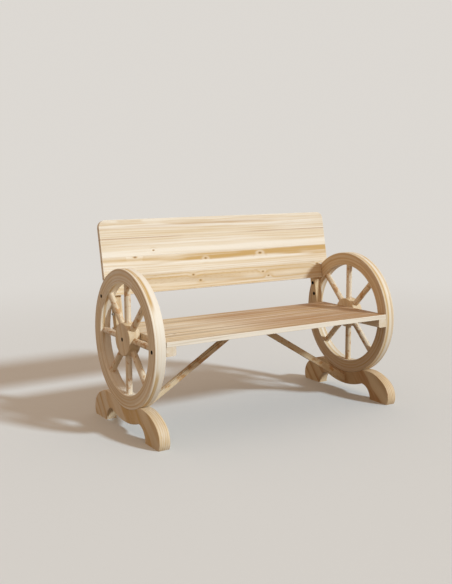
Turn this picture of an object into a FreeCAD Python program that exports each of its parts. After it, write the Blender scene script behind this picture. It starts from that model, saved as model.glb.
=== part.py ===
"""Wagon wheel bench: two spoked wheels on arched feet carry a plank seat and a leaning plank back.

Millimetres, +Z up, X along the bench, front towards -Y, origin on the floor under the wheel axis.
"""
import FreeCAD
import Part
import Sketcher
import math
import os

# Driving dimensions of the bench.
SIZES = {
    # wheels
    "wheel_radius": 269.0,
    "rim_width": 54.0,
    "rim_thick": 45.0,
    "rim_round": 3.0,
    "hub_radius": 64.0,
    "hub_proud": 3.5,
    "hub_round": 4.0,
    "spoke_dia": 25.0,
    "spoke_chamfer": 1.5,
    "spoke_wall": 10.0,
    "rim_socket": 14.0,
    "dowel_dia": 10.0,
    "dowel_length": 40.0,
    "dowel_spacing": 20.0,
    # seat
    "seat_length": 1040.0,
    "seat_thick": 19.0,
    "axis_drop": 11.0,
    "end_gap": 1.5,
    "board_ease": 1.0,
    # end cleats
    "cleat_width": 40.0,
    "cleat_height": 34.0,
    "cleat_tail": 46.0,
    "cleat_bevel": 5.0,
    # back posts
    "back_lean": 11.5,
    "post_inset": 60.5,
    "post_setback": 3.5,
    "post_thick": 34.0,
    "post_depth": 30.0,
    "post_drop": 19.0,
    "post_round": 2.0,
    # back boards
    "back_overhang": 38.5,
    "back_width": 302.0,
    "back_thick": 18.0,
    "back_rise": 132.0,
    "back_corner": 30.0,
    "notch_gap": 2.0,
    "notch_rise": 3.0,
    "notch_cover": 10.8,
    # feet
    "foot_length": 580.0,
    "toe_inset": 8.0,
    "toe_height": 28.0,
    "toe_round": 50.0,
    "pad_length": 107.0,
    "haunch_inset": 31.0,
    "haunch_height": 88.5,
    "haunch_round": 75.0,
    "shoulder_round": 186.0,
    "saddle_half": 124.0,
    "saddle_gap": 0.2,
    "saddle_margin": 2.0,
    "arch_rise": 36.0,
    "arch_step": 55.0,
    "arch_round": 58.0,
    "belly_depth": 55.0,
    "foot_ease": 3.0,
    # braces
    "brace_width": 25.0,
    "brace_thick": 15.0,
    "brace_lift": 10.5,
    "brace_butt": 8.0,
    "brace_round": 1.5,
    # bolts, inserts and screws
    "bolt_dia": 8.0,
    "bolt_head_dia": 14.0,
    "bolt_head_height": 4.5,
    "bolt_head_bevel": 1.2,
    "bolt_recess": 6.0,
    "bolt_key": 5.0,
    "key_depth": 3.0,
    "post_bolt_dia": 6.0,
    "post_head_dia": 11.0,
    "post_key": 4.0,
    "post_bolt_margin": 8.0,
    "clamp_bolt_rise": 60.0,
    "insert_length": 20.0,
    "insert_sink": 2.0,
    "bolt_tip_gap": 1.0,
    "insert_wall": 2.0,
    "foot_bolt_half": 60.0,
    "nut_height": 5.0,
    "nut_dia": 11.5,
    "washer_dia": 16.0,
    "washer_thick": 1.5,
    "screw_dia": 4.5,
    "screw_head_dia": 8.5,
    "screw_head_height": 3.0,
    "screw_tip": 5.0,
    "screw_point": 0.8,
    "screw_margin": 1.5,
    "driver_room": 26.0,
    "seat_screw_inset": 10.0,
    "seat_screw_edge": 26.0,
    "seat_screw_bite": 11.0,
    "post_screw_recess": 20.0,
    "post_screw_bite": 31.0,
    "back_screw_inset": 8.0,
    "back_screw_bite": 12.0,
    "brace_screw_grip": 20.0,
    "brace_screw_bite": 13.0,
    # fits
    "hole_gap": 0.2,
    "socket_gap": 0.15,
}

WHEEL_PARTS = 8
SPOKE_STEP = 360.0 / WHEEL_PARTS
SEAT_BOARDS = 4
BACK_BOARDS = 4
SIDES = {"left": -1, "right": 1}

# Places that several pieces share, as expressions on the sheet. The heights build up from the floor:
# arch, belly of the foot, wheel, cleat, seat. The seat runs from the front of the wheels to the posts.
RIM_IN = "(Sizes.seat_length / 2 + Sizes.end_gap)"
RIM_MID = f"({RIM_IN} + Sizes.rim_thick / 2)"
RIM_OUT = f"({RIM_IN} + Sizes.rim_thick)"
HUB_THICK = "(Sizes.rim_thick + Sizes.hub_proud)"
HUB_OUT = f"({RIM_IN} + {HUB_THICK})"
BELLY_RADIUS = "(Sizes.wheel_radius + Sizes.belly_depth)"
SADDLE_RADIUS = "(Sizes.wheel_radius + Sizes.saddle_gap)"
WHEEL_AXIS = f"(Sizes.arch_rise + {BELLY_RADIUS})"
RIM_INNER_RADIUS = "(Sizes.wheel_radius - Sizes.rim_width)"
RIM_MID_RADIUS = "(Sizes.wheel_radius - Sizes.rim_width / 2)"
SOCKET_DIA = "(Sizes.spoke_dia + 2 * Sizes.socket_gap)"
SPOKE_START = f"(({SOCKET_DIA} + Sizes.spoke_wall) / 2 / sin({SPOKE_STEP / 2}))"
SPOKE_LENGTH = f"({RIM_INNER_RADIUS} + Sizes.rim_socket - {SPOKE_START})"
POST_FOOT_Y = f"({RIM_INNER_RADIUS} - Sizes.post_inset)"
POST_X = f"({RIM_IN} - Sizes.post_thick / 2)"
SEAT_FRONT = "(-Sizes.wheel_radius)"
SEAT_DEPTH = f"({POST_FOOT_Y} - Sizes.post_setback - {SEAT_FRONT})"
SEAT_UNDER = f"({WHEEL_AXIS} + Sizes.axis_drop)"
SEAT_BOARD = f"({SEAT_DEPTH} / {SEAT_BOARDS})"
CLEAT_UNDER = f"({SEAT_UNDER} - Sizes.cleat_height)"
CLEAT_LENGTH = f"({SEAT_DEPTH} + Sizes.cleat_tail)"
LEAN_SIN = "sin(Sizes.back_lean)"
LEAN_COS = "cos(Sizes.back_lean)"
POST_LENGTH = "(Sizes.back_rise + Sizes.back_width - Sizes.post_drop)"
BACK_HALF = f"({RIM_IN} + Sizes.back_overhang)"
BRACE_FOOT = "(Sizes.arch_rise + Sizes.brace_lift)"
BRACE_SLOPE = f"(({SEAT_UNDER} - Sizes.brace_butt - {BRACE_FOOT}) / {RIM_IN})"
BRACE_END = f"(Sizes.brace_width * sqrt(1 + {BRACE_SLOPE} ^ 2))"

# Distances seen along the leaning back, measured from the wheel axis: up the lean and across it.
POST_FOOT_UP = f"({POST_FOOT_Y} * {LEAN_SIN} + Sizes.axis_drop * {LEAN_COS})"
POST_FRONT_ACROSS = f"({POST_FOOT_Y} * {LEAN_COS} - Sizes.axis_drop * {LEAN_SIN})"
POST_MID_ACROSS = f"({POST_FRONT_ACROSS} + Sizes.post_depth / 2)"
BACK_FRONT_ACROSS = f"({POST_FRONT_ACROSS} - Sizes.back_thick)"

# The lowest back board reaches a little above its rim notches; the others share the rest of the width.
NOTCH_UP = f"sqrt((Sizes.wheel_radius + Sizes.notch_rise) ^ 2 - {BACK_FRONT_ACROSS} ^ 2)"
NOTCH_HEIGHT = f"({NOTCH_UP} - {POST_FOOT_UP} - Sizes.back_rise)"
LOW_BOARD = f"({NOTCH_HEIGHT} + Sizes.notch_cover)"
BACK_BOARD = f"((Sizes.back_width - {LOW_BOARD}) / {BACK_BOARDS - 1})"

ALONG_X = FreeCAD.Vector(1, 0, 0)
ALONG_Y = FreeCAD.Vector(0, 1, 0)
ALONG_Z = FreeCAD.Vector(0, 0, 1)
UPRIGHT = FreeCAD.Rotation()
HALF_TURN = FreeCAD.Rotation(ALONG_Z, 180)

doc = FreeCAD.newDocument("WagonWheelBench")
sheet = doc.addObject("Spreadsheet::Sheet", "Sizes")
for row, (alias, size) in enumerate(SIZES.items(), start=1):
    sheet.set(f"A{row}", alias.replace("_", " "))
    sheet.set(f"B{row}", str(size))
    sheet.setAlias(f"B{row}", alias)
doc.recompute()

blanks = {}
hole_tools = {}
groups = {}


def value(text):
    """Number that an expression on the sheet gives."""
    return float(sheet.evalExpression(text))


def circle_height(radius, half_width):
    """Height of the lower half of a circle round the wheel axis, at a distance from its middle."""
    return f"({WHEEL_AXIS} - sqrt({radius} ^ 2 - {half_width} ^ 2))"


def place(piece, rotation, x="0", y="0", z="0"):
    """Turn a piece and tie its base point to the sheet."""
    piece.Placement = FreeCAD.Placement(FreeCAD.Vector(), rotation)
    for axis, text in zip("xyz", (x, y, z)):
        piece.setExpression(f"Placement.Base.{axis}", text)
    return piece


def wheel_turn(angle):
    """Rotation that points +Z away from the wheel axis, at an angle from the top towards the rear."""
    return FreeCAD.Rotation(ALONG_X, -angle)


def outward_turn(side):
    """Rotation that points +Z along X, away from the middle of the bench."""
    return FreeCAD.Rotation(ALONG_Y, 90 * side)


def inward_turn(side):
    """Rotation that points +Z along X, towards the middle of the bench."""
    return FreeCAD.Rotation(ALONG_Y, -90 * side)


def signed(side, text):
    """Expression with the sign of one side of the bench."""
    return text if side > 0 else f"-{text}"


def start_x(side, near, thickness):
    """Least X of a piece that starts at a distance from the middle and runs outwards."""
    return near if side > 0 else f"-({near} + {thickness})"


def pin(sketch, geometry, point, kind, text):
    """Hold one coordinate of a sketch point at an expression; -1 and -2 are the sketch's own axes."""
    if text == "0":
        axis = -2 if kind == "DistanceX" else -1
        sketch.addConstraint(Sketcher.Constraint("PointOnObject", geometry, point, axis))
        return
    number = sketch.addConstraint(Sketcher.Constraint(kind, -1, 1, geometry, point, value(text)))
    sketch.setExpression(f"Constraints[{number}]", text)


def new_sketch(body, role):
    """Empty sketch on one of a body's own origin planes."""
    sketch = body.newObject("Sketcher::SketchObject", "Outline")
    plane = next(feature for feature in body.Origin.OriginFeatures if feature.Role == role)
    sketch.AttachmentSupport = [(plane, "")]
    sketch.MapMode = "FlatFace"
    return sketch


def add_arc(sketch, start, finish, radius_text, swells):
    """Add an arc between two corners; it swells out of the outline or cuts into it."""
    radius = value(radius_text)
    chord = finish - start
    left = FreeCAD.Vector(-chord.y, chord.x, 0).normalize()
    reach = math.sqrt(radius ** 2 - (chord.Length / 2) ** 2)
    centre = (start + finish) / 2 + left * (reach if swells else -reach)
    first, last = (start, finish) if swells else (finish, start)
    angles = [math.atan2(point.y - centre.y, point.x - centre.x) for point in (first, last)]
    circle = Part.Circle(centre, ALONG_Z, radius)
    geometry = sketch.addGeometry(Part.ArcOfCircle(circle, *angles), False)
    number = sketch.addConstraint(Sketcher.Constraint("Radius", geometry, radius))
    sketch.setExpression(f"Constraints[{number}]", radius_text)
    return (geometry, 1, 2) if swells else (geometry, 2, 1)


def outline(body, role, corners, arcs=None):
    """Sketch a closed outline, anticlockwise; arcs gives an edge's radius and whether it swells."""
    sketch = new_sketch(body, role)
    points = [FreeCAD.Vector(value(u), value(v), 0) for u, v in corners]
    edges = []
    for index, start in enumerate(points):
        finish = points[(index + 1) % len(points)]
        if arcs and index in arcs:
            edges.append(add_arc(sketch, start, finish, *arcs[index]))
        else:
            geometry = sketch.addGeometry(Part.LineSegment(start, finish), False)
            edges.append((geometry, 1, 2))
    for index, (geometry, first, _) in enumerate(edges):
        before, _, last = edges[index - 1]
        sketch.addConstraint(Sketcher.Constraint("Coincident", before, last, geometry, first))
        pin(sketch, geometry, first, "DistanceX", corners[index][0])
        pin(sketch, geometry, first, "DistanceY", corners[index][1])
    return sketch


def pad(body, sketch, length):
    """Pad a sketch by an expression."""
    feature = body.newObject("PartDesign::Pad", "Pad")
    feature.Profile = sketch
    feature.setExpression("Length", length)
    feature.recompute(True)
    return feature


def padded(name, role, corners, length, arcs=None):
    """Body made of one padded outline."""
    body = doc.addObject("PartDesign::Body", name)
    return body, pad(body, outline(body, role, corners, arcs), length)


def padded_round(name, role, radius, length):
    """Body made of one padded circle."""
    body = doc.addObject("PartDesign::Body", name)
    sketch = new_sketch(body, role)
    geometry = sketch.addGeometry(Part.Circle(FreeCAD.Vector(), ALONG_Z, value(radius)), False)
    sketch.addConstraint(Sketcher.Constraint("Coincident", geometry, 3, -1, 1))
    number = sketch.addConstraint(Sketcher.Constraint("Radius", geometry, value(radius)))
    sketch.setExpression(f"Constraints[{number}]", radius)
    return body, pad(body, sketch, length)


def ease(body, feature, kind, size, wanted):
    """Fillet or chamfer the edges of a feature that are wanted."""
    edges = enumerate(feature.Shape.Edges, start=1)
    names = [f"Edge{number}" for number, edge in edges if wanted(edge)]
    eased = body.newObject(f"PartDesign::{kind}", kind)
    eased.Base = (feature, names)
    eased.setExpression("Radius" if kind == "Fillet" else "Size", size)


def lies_across(axis):
    """Test for edges whose points all share one coordinate, along the given axis of the body."""
    def test(edge):
        box = edge.BoundBox
        return {"x": box.XLength, "y": box.YLength, "z": box.ZLength}[axis] < 1e-6
    return test


def any_edge(_):
    """Test that takes every edge."""
    return True


def cylinder(radius, height, start="0"):
    """Cylinder along +Z from a start height."""
    item = doc.addObject("Part::Cylinder", "Cylinder")
    item.setExpression("Radius", radius)
    item.setExpression("Height", height)
    item.setExpression("Placement.Base.z", start)
    return item


def cone(radius_low, radius_high, height, start="0"):
    """Cone or frustum along +Z from a start height."""
    item = doc.addObject("Part::Cone", "Cone")
    item.setExpression("Radius1", radius_low)
    item.setExpression("Radius2", radius_high)
    item.setExpression("Height", height)
    item.setExpression("Placement.Base.z", start)
    return item


def join(items):
    """Union of several items."""
    fused = doc.addObject("Part::MultiFuse", "Union")
    fused.Shapes = items
    return fused


def subtract(base, tool):
    """One item less another."""
    result = doc.addObject("Part::Cut", "Cut")
    result.Base = base
    result.Tool = tool
    return result


def drill(tool, *labels):
    """Note that a tool makes a hole in each of the named pieces."""
    for label in labels:
        hole_tools.setdefault(label, []).append(tool)


def add_to_group(label, item):
    """Add a solid to a node of identical pieces."""
    groups.setdefault(label, []).append(item)


def build_wheel(name, side):
    """Felloes, spokes, hub and felloe dowels of one wheel."""
    sector = [f"{trig}({SPOKE_STEP})" for trig in ("cos", "sin")]
    corners = [(RIM_INNER_RADIUS, "0"), ("Sizes.wheel_radius", "0")]
    for radius in ("Sizes.wheel_radius", RIM_INNER_RADIUS):
        corners.append(tuple(f"{radius} * {trig}" for trig in sector))
    arcs = {1: ("Sizes.wheel_radius", True), 3: (RIM_INNER_RADIUS, False)}
    for part in range(WHEEL_PARTS):
        angle = part * SPOKE_STEP
        felloe = f"{name}_felloe_{part + 1}"
        body, feature = padded(felloe, "YZ_Plane", corners, "Sizes.rim_thick", arcs)
        ease(body, feature, "Fillet", "Sizes.rim_round",
             lambda edge: isinstance(edge.Curve, Part.Circle) and lies_across("x")(edge))
        turn = FreeCAD.Rotation(ALONG_X, 90 - SPOKE_STEP / 2 - angle)
        blanks[felloe] = place(body, turn, start_x(side, RIM_IN, "Sizes.rim_thick"), "0", WHEEL_AXIS)

        spoke = f"{name}_spoke_{part + 1}"
        body, feature = padded_round(spoke, "XY_Plane", "Sizes.spoke_dia / 2", SPOKE_LENGTH)
        ease(body, feature, "Chamfer", "Sizes.spoke_chamfer", lies_across("z"))
        middle = signed(side, RIM_MID)
        base_y = f"{SPOKE_START} * sin({angle})"
        base_z = f"{WHEEL_AXIS} + {SPOKE_START} * cos({angle})"
        blanks[spoke] = place(body, wheel_turn(angle), middle, base_y, base_z)

        socket = cylinder(f"{SOCKET_DIA} / 2", f"{SPOKE_LENGTH} + 2 * Sizes.socket_gap")
        bed_y = f"({SPOKE_START} - Sizes.socket_gap) * sin({angle})"
        bed_z = f"{WHEEL_AXIS} + ({SPOKE_START} - Sizes.socket_gap) * cos({angle})"
        place(socket, wheel_turn(angle), middle, bed_y, bed_z)
        drill(socket, felloe, f"{name}_hub")

        build_joint_dowels(name, side, part)

    hub = f"{name}_hub"
    body, feature = padded_round(hub, "YZ_Plane", "Sizes.hub_radius", HUB_THICK)
    ease(body, feature, "Fillet", "Sizes.hub_round", lies_across("x"))
    blanks[hub] = place(body, UPRIGHT, start_x(side, RIM_IN, HUB_THICK), "0", WHEEL_AXIS)


def build_joint_dowels(name, side, part):
    """Two dowels across the joint between a felloe and the next one."""
    angle = (part + 0.5) * SPOKE_STEP
    neighbours = (f"{name}_felloe_{part + 1}", f"{name}_felloe_{(part + 1) % WHEEL_PARTS + 1}")
    turn = wheel_turn(angle + 90)
    for shift in (-0.5, 0.5):
        x = f"{signed(side, RIM_MID)} + {shift} * Sizes.dowel_spacing"
        dowel_half = "Sizes.dowel_length / 2"
        hole_half = f"({dowel_half} + Sizes.socket_gap)"
        dowel = cylinder("Sizes.dowel_dia / 2", f"{dowel_half} * 2")
        hole = cylinder("Sizes.dowel_dia / 2 + Sizes.socket_gap", f"{hole_half} * 2")
        for item, half in ((dowel, dowel_half), (hole, hole_half)):
            y = f"{RIM_MID_RADIUS} * sin({angle}) - {half} * cos({angle})"
            z = f"{WHEEL_AXIS} + {RIM_MID_RADIUS} * cos({angle}) + {half} * sin({angle})"
            place(item, turn, x, y, z)
        add_to_group("felloe_dowels", dowel)
        drill(hole, *neighbours)


def shoulder_crest(half):
    """Point of a foot's shoulder arc a little past the edge of the saddle, inside the wheel."""
    radius = "Sizes.shoulder_round"
    edge_y = f"({half} - Sizes.saddle_half)"
    run = f"({edge_y} - Sizes.haunch_inset)"
    climb = f"({circle_height(SADDLE_RADIUS, 'Sizes.saddle_half')} - Sizes.haunch_height)"
    chord = f"sqrt({run} ^ 2 + {climb} ^ 2)"
    reach = f"sqrt({radius} ^ 2 - ({run} ^ 2 + {climb} ^ 2) / 4)"
    centre_y = f"(Sizes.haunch_inset + {run} / 2 + {climb} / {chord} * {reach})"
    centre_z = f"(Sizes.haunch_height + {climb} / 2 - {run} / {chord} * {reach})"
    crest_y = f"({edge_y} + Sizes.saddle_margin)"
    return crest_y, f"({centre_z} + sqrt({radius} ^ 2 - ({crest_y} - {centre_y}) ^ 2))"


def build_foot(name, side):
    """Foot board: saddle for the wheel above, two floor pads and an arch below."""
    half = "(Sizes.foot_length / 2)"
    pad_end = "Sizes.toe_inset + Sizes.pad_length"
    arch_start = f"({pad_end} + Sizes.arch_step)"
    arch_z = circle_height(BELLY_RADIUS, f"({half} - {arch_start})")
    crest_y, crest_z = shoulder_crest(half)
    corners = [
        ("Sizes.toe_inset", "0"),
        (pad_end, "0"),
        (arch_start, arch_z),
        (f"Sizes.foot_length - {arch_start}", arch_z),
        (f"Sizes.foot_length - ({pad_end})", "0"),
        ("Sizes.foot_length - Sizes.toe_inset", "0"),
        ("Sizes.foot_length", "Sizes.toe_height"),
        ("Sizes.foot_length - Sizes.haunch_inset", "Sizes.haunch_height"),
        (f"Sizes.foot_length - {crest_y}", crest_z),
        (f"Sizes.foot_length - {crest_y}", f"{crest_z} + Sizes.rim_width"),
        (crest_y, f"{crest_z} + Sizes.rim_width"),
        (crest_y, crest_z),
        ("Sizes.haunch_inset", "Sizes.haunch_height"),
        ("0", "Sizes.toe_height"),
    ]
    arcs = {
        1: ("Sizes.arch_round", False),
        2: (BELLY_RADIUS, True),
        3: ("Sizes.arch_round", False),
        5: ("Sizes.toe_round", True),
        6: ("Sizes.haunch_round", True),
        7: ("Sizes.shoulder_round", True),
        11: ("Sizes.shoulder_round", True),
        12: ("Sizes.haunch_round", True),
        13: ("Sizes.toe_round", True),
    }
    body, feature = padded(name, "YZ_Plane", corners, "Sizes.rim_thick", arcs)
    ease(body, feature, "Fillet", "Sizes.foot_ease",
         lambda edge: isinstance(edge.Curve, Part.Circle) and lies_across("x")(edge))
    blanks[name] = place(body, UPRIGHT, start_x(side, RIM_IN, "Sizes.rim_thick"), f"-{half}", "0")
    saddle = cylinder(SADDLE_RADIUS, "Sizes.rim_thick * 3")
    inside = signed(side, f"({RIM_IN} - Sizes.rim_thick)")
    drill(place(saddle, outward_turn(side), inside, "0", WHEEL_AXIS), name)


def build_seat():
    """Seat boards, edge to edge from the front."""
    for board in range(SEAT_BOARDS):
        label = f"seat_board_{board + 1}"
        body, feature = padded(
            label,
            "XY_Plane",
            [("0", "0"), ("Sizes.seat_length", "0"), ("Sizes.seat_length", SEAT_BOARD), ("0", SEAT_BOARD)],
            "Sizes.seat_thick",
        )
        ease(body, feature, "Fillet", "Sizes.board_ease", any_edge)
        front = f"{SEAT_FRONT} + {board} * {SEAT_BOARD}"
        blanks[label] = place(body, UPRIGHT, "-Sizes.seat_length / 2", front, SEAT_UNDER)


def build_cleat(name, side):
    """End cleat under the seat, bevelled along its lower inner edge, with a tail under the back post."""
    height = "Sizes.cleat_height"
    width = "Sizes.cleat_width"
    bevel = "Sizes.cleat_bevel"
    corners = [(bevel, "0"), (width, "0"), (width, height), ("0", height), ("0", bevel)]
    body, _ = padded(name, "XZ_Plane", corners, CLEAT_LENGTH)
    inner = f"{RIM_IN} - {width}"
    if side > 0:
        blanks[name] = place(body, UPRIGHT, inner, f"{SEAT_FRONT} + {CLEAT_LENGTH}", CLEAT_UNDER)
    else:
        blanks[name] = place(body, HALF_TURN, f"-({inner})", SEAT_FRONT, CLEAT_UNDER)


def post_point(rise, depth):
    """Y and Z of a point on a post, up its front face from its foot and back through its depth."""
    y = f"({POST_FOOT_Y} + {rise} * {LEAN_SIN} + {depth} * {LEAN_COS})"
    z = f"({SEAT_UNDER} + {rise} * {LEAN_COS} - {depth} * {LEAN_SIN})"
    return y, z


def build_post(name, side):
    """Leaning back post that stands on the tail of the cleat, against the rim."""
    depth = "Sizes.post_depth"
    top_y = f"{POST_LENGTH} * {LEAN_SIN}"
    top_z = f"{POST_LENGTH} * {LEAN_COS}"
    corners = [
        ("0", "0"),
        (f"{depth} / {LEAN_COS}", "0"),
        (f"{top_y} + {depth} * {LEAN_COS}", f"{top_z} - {depth} * {LEAN_SIN}"),
        (top_y, top_z),
    ]
    body, feature = padded(name, "YZ_Plane", corners, "Sizes.post_thick")
    ease(body, feature, "Fillet", "Sizes.post_round", lambda edge: edge.BoundBox.ZLength > value(depth))
    x = start_x(side, f"({RIM_IN} - Sizes.post_thick)", "Sizes.post_thick")
    blanks[name] = place(body, UPRIGHT, x, POST_FOOT_Y, SEAT_UNDER)


def back_board_span(board):
    """Rise of a back board's lower edge up the post, and its height."""
    if board == 0:
        return "Sizes.back_rise", LOW_BOARD
    return f"(Sizes.back_rise + {LOW_BOARD} + {board - 1} * {BACK_BOARD})", BACK_BOARD


def build_back():
    """Back boards, edge to edge up the posts; the rims pass through notches in the lower corners."""
    turn = FreeCAD.Rotation(ALONG_X, -value("Sizes.back_lean"))
    length = f"({BACK_HALF} * 2)"
    notch_x = f"({RIM_IN} - Sizes.notch_gap)"
    notches = []
    for side in SIDES.values():
        notch = doc.addObject("Part::Box", "Notch")
        notch.setExpression("Length", BACK_HALF)
        notch.setExpression("Width", "Sizes.back_thick * 3")
        notch.setExpression("Height", f"{NOTCH_HEIGHT} * 2")
        low_y, low_z = post_point(f"(Sizes.back_rise - {NOTCH_HEIGHT})", "(-Sizes.back_thick * 2)")
        notches.append(place(notch, turn, start_x(side, notch_x, BACK_HALF), low_y, low_z))
    for board in range(BACK_BOARDS):
        label = f"back_board_{board + 1}"
        rise, height = back_board_span(board)
        if board == BACK_BOARDS - 1:
            corner = "Sizes.back_corner"
            low = f"{height} - {corner}"
            corners = [("0", "0"), (length, "0"), (length, low),
                       (f"{length} - {corner}", height), (corner, height), ("0", low)]
            arcs = {2: (corner, True), 4: (corner, True)}
        else:
            corners = [("0", "0"), (length, "0"), (length, height), ("0", height)]
            arcs = None
        body, feature = padded(label, "XZ_Plane", corners, "Sizes.back_thick", arcs)
        ease(body, feature, "Fillet", "Sizes.board_ease", lies_across("y"))
        rear_y, rear_z = post_point(rise, "0")
        blanks[label] = place(body, turn, f"-{BACK_HALF}", rear_y, rear_z)
    for notch in notches:
        drill(notch, "back_board_1")


def build_brace(name, side):
    """Brace from the inner face of a foot up to the underside of the seat, where the two braces meet."""
    high_end = f"({BRACE_FOOT} + {BRACE_END})"
    top_x = f"({RIM_IN} - ({SEAT_UNDER} - {high_end}) / {BRACE_SLOPE})"
    corners = [
        ("0", f"{SEAT_UNDER} - Sizes.brace_butt"),
        (RIM_IN, BRACE_FOOT),
        (RIM_IN, high_end),
        (top_x, SEAT_UNDER),
        ("0", SEAT_UNDER),
    ]
    body, feature = padded(name, "XZ_Plane", corners, "Sizes.brace_thick")
    ends = value("Sizes.brace_width") * 2
    ease(body, feature, "Fillet", "Sizes.brace_round", lambda edge: edge.Length > ends)
    turn = UPRIGHT if side > 0 else HALF_TURN
    blanks[name] = place(body, turn, "0", signed(side, "Sizes.brace_thick / 2"), "0")


def felloes_at(name, y, z):
    """Felloes that a hole through the rim meets, from the place of its middle."""
    angle = math.degrees(math.atan2(value(y), value(f"{z} - {WHEEL_AXIS}")))
    reach = math.degrees(value(f"Sizes.bolt_head_dia / {RIM_INNER_RADIUS}"))
    parts = {round((angle + turn) / SPOKE_STEP) % WHEEL_PARTS + 1 for turn in (-reach, reach)}
    return [f"{name}_felloe_{part}" for part in sorted(parts)]


def hexagon(across_corners, height, start="0"):
    """Six-sided prism along +Z from a start height."""
    item = doc.addObject("Part::Prism", "Hexagon")
    item.Polygon = 6
    item.setExpression("Circumradius", f"{across_corners} / 2")
    item.setExpression("Height", height)
    item.setExpression("Placement.Base.z", start)
    return item


def build_bolt(kind, near, turn, place_at, near_labels, far_labels=(), beyond=None):
    """Socket head bolt sunk in the near pieces.

    Args:
        kind: Group of the bolt, with its shank, head and key sizes.
        near: Thickness of the near pieces.
        turn: Rotation that points +Z the way the bolt is driven.
        place_at: Place on the outer face of the near pieces.
        near_labels: Pieces that the bolt passes through.
        far_labels: Pieces that hold the threaded insert; none for a bolt with a nut.
        beyond: How far a bolt with a nut stands out of the near pieces.
    """
    group, dia, head_dia, key = kind
    recess = "Sizes.bolt_recess"
    head_height = "Sizes.bolt_head_height"
    head_top = f"({recess} - {head_height})"
    hole_radius = f"({dia} / 2 + Sizes.hole_gap)"
    insert_start = f"({near} + Sizes.insert_sink)"
    if beyond is None:
        beyond = "(Sizes.insert_sink + Sizes.insert_length - Sizes.bolt_tip_gap)"
    head = cone(f"{head_dia} / 2 - Sizes.bolt_head_bevel", f"{head_dia} / 2", head_height, head_top)
    shank = cylinder(f"{dia} / 2", f"{near} - {recess} + {beyond}", recess)
    socket = hexagon(f"{key} * 2 / sqrt(3)", "Sizes.key_depth", head_top)
    add_to_group(group, place(subtract(join([head, shank]), socket), turn, *place_at))

    sink = cylinder(f"{head_dia} / 2 + Sizes.hole_gap", f"{recess} * 2", f"-{recess}")
    tools = [sink, cylinder(hole_radius, insert_start)]
    if far_labels:
        length = "Sizes.insert_length"
        gap = "Sizes.socket_gap"
        bush_radius = f"({hole_radius} + Sizes.insert_wall)"
        bush = subtract(
            cylinder(bush_radius, length, insert_start),
            cylinder(hole_radius, length, insert_start),
        )
        add_to_group("threaded_inserts", place(bush, turn, *place_at))
        tools.append(cylinder(f"{bush_radius} + {gap}", f"{length} + {gap}", insert_start))
    drill(place(join(tools), turn, *place_at), *near_labels, *far_labels)


WHEEL_BOLT = ("wheel_bolts", "Sizes.bolt_dia", "Sizes.bolt_head_dia", "Sizes.bolt_key")
FOOT_BOLT = ("foot_bolts", "Sizes.bolt_dia", "Sizes.bolt_head_dia", "Sizes.bolt_key")
POST_BOLT = ("post_bolts", "Sizes.post_bolt_dia", "Sizes.post_head_dia", "Sizes.post_key")


def post_point_at(radius):
    """Y and Z of the point on the middle line of a post at a distance from the wheel axis."""
    rise = f"(sqrt({radius} ^ 2 - {POST_MID_ACROSS} ^ 2) - {POST_FOOT_UP})"
    return post_point(rise, "Sizes.post_depth / 2")


def build_wheel_bolts(name, side):
    """Bolts through the hub and the front of the rim into the cleat, and through the rim into the post."""
    turn = inward_turn(side)
    cleat = [f"{name}_cleat"]
    hub_place = (signed(side, HUB_OUT), "0", WHEEL_AXIS)
    build_bolt(WHEEL_BOLT, HUB_THICK, turn, hub_place, [f"{name}_hub"], cleat)
    front = (f"-{RIM_MID_RADIUS}", f"({CLEAT_UNDER} + Sizes.cleat_height / 2)")
    rear = post_point_at(RIM_MID_RADIUS)
    for (y, z), holder in ((front, cleat), (rear, [f"{name}_post"])):
        rim_place = (signed(side, RIM_OUT), y, z)
        build_bolt(WHEEL_BOLT, "Sizes.rim_thick", turn, rim_place, felloes_at(name, y, z), holder)


def build_post_bolts(name, side):
    """Two bolts in the inner face of a post: one into the rim, one clamped by a nut below it."""
    turn = outward_turn(side)
    face = signed(side, f"({RIM_IN} - Sizes.post_thick)")
    post = [f"{name}_post"]
    upper = post_point_at(f"({RIM_INNER_RADIUS} + Sizes.post_bolt_margin)")
    build_bolt(POST_BOLT, "Sizes.post_thick", turn, (face, *upper), post, felloes_at(name, *upper))
    lower = post_point("Sizes.clamp_bolt_rise", "Sizes.post_depth / 2")
    stack = "(Sizes.washer_thick + Sizes.nut_height + Sizes.bolt_tip_gap)"
    build_bolt(POST_BOLT, "Sizes.post_thick", turn, (face, *lower), post, beyond=stack)
    bore = "Sizes.post_bolt_dia / 2 + Sizes.hole_gap"
    thick = "Sizes.washer_thick"
    washer = subtract(cylinder("Sizes.washer_dia / 2", thick), cylinder(bore, thick))
    nut = subtract(hexagon("Sizes.nut_dia", "Sizes.nut_height"), cylinder(bore, "Sizes.nut_height"))
    nut_x = signed(side, f"({RIM_IN} + {thick})")
    add_to_group("post_bolt_nuts", place(washer, turn, signed(side, RIM_IN), *lower))
    add_to_group("post_bolt_nuts", place(nut, turn, nut_x, *lower))


def build_foot_bolts(name, side):
    """Two bolts up through the belly of a foot into the rim."""
    half = "Sizes.foot_bolt_half"
    start = circle_height(BELLY_RADIUS, half)
    rim_z = circle_height("Sizes.wheel_radius", half)
    for end in (-1, 1):
        y = signed(end, half)
        foot_place = (signed(side, RIM_MID), y, start)
        holders = felloes_at(name, y, rim_z)
        build_bolt(FOOT_BOLT, f"({rim_z} - {start})", UPRIGHT, foot_place, [f"{name}_foot"], holders)


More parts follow.
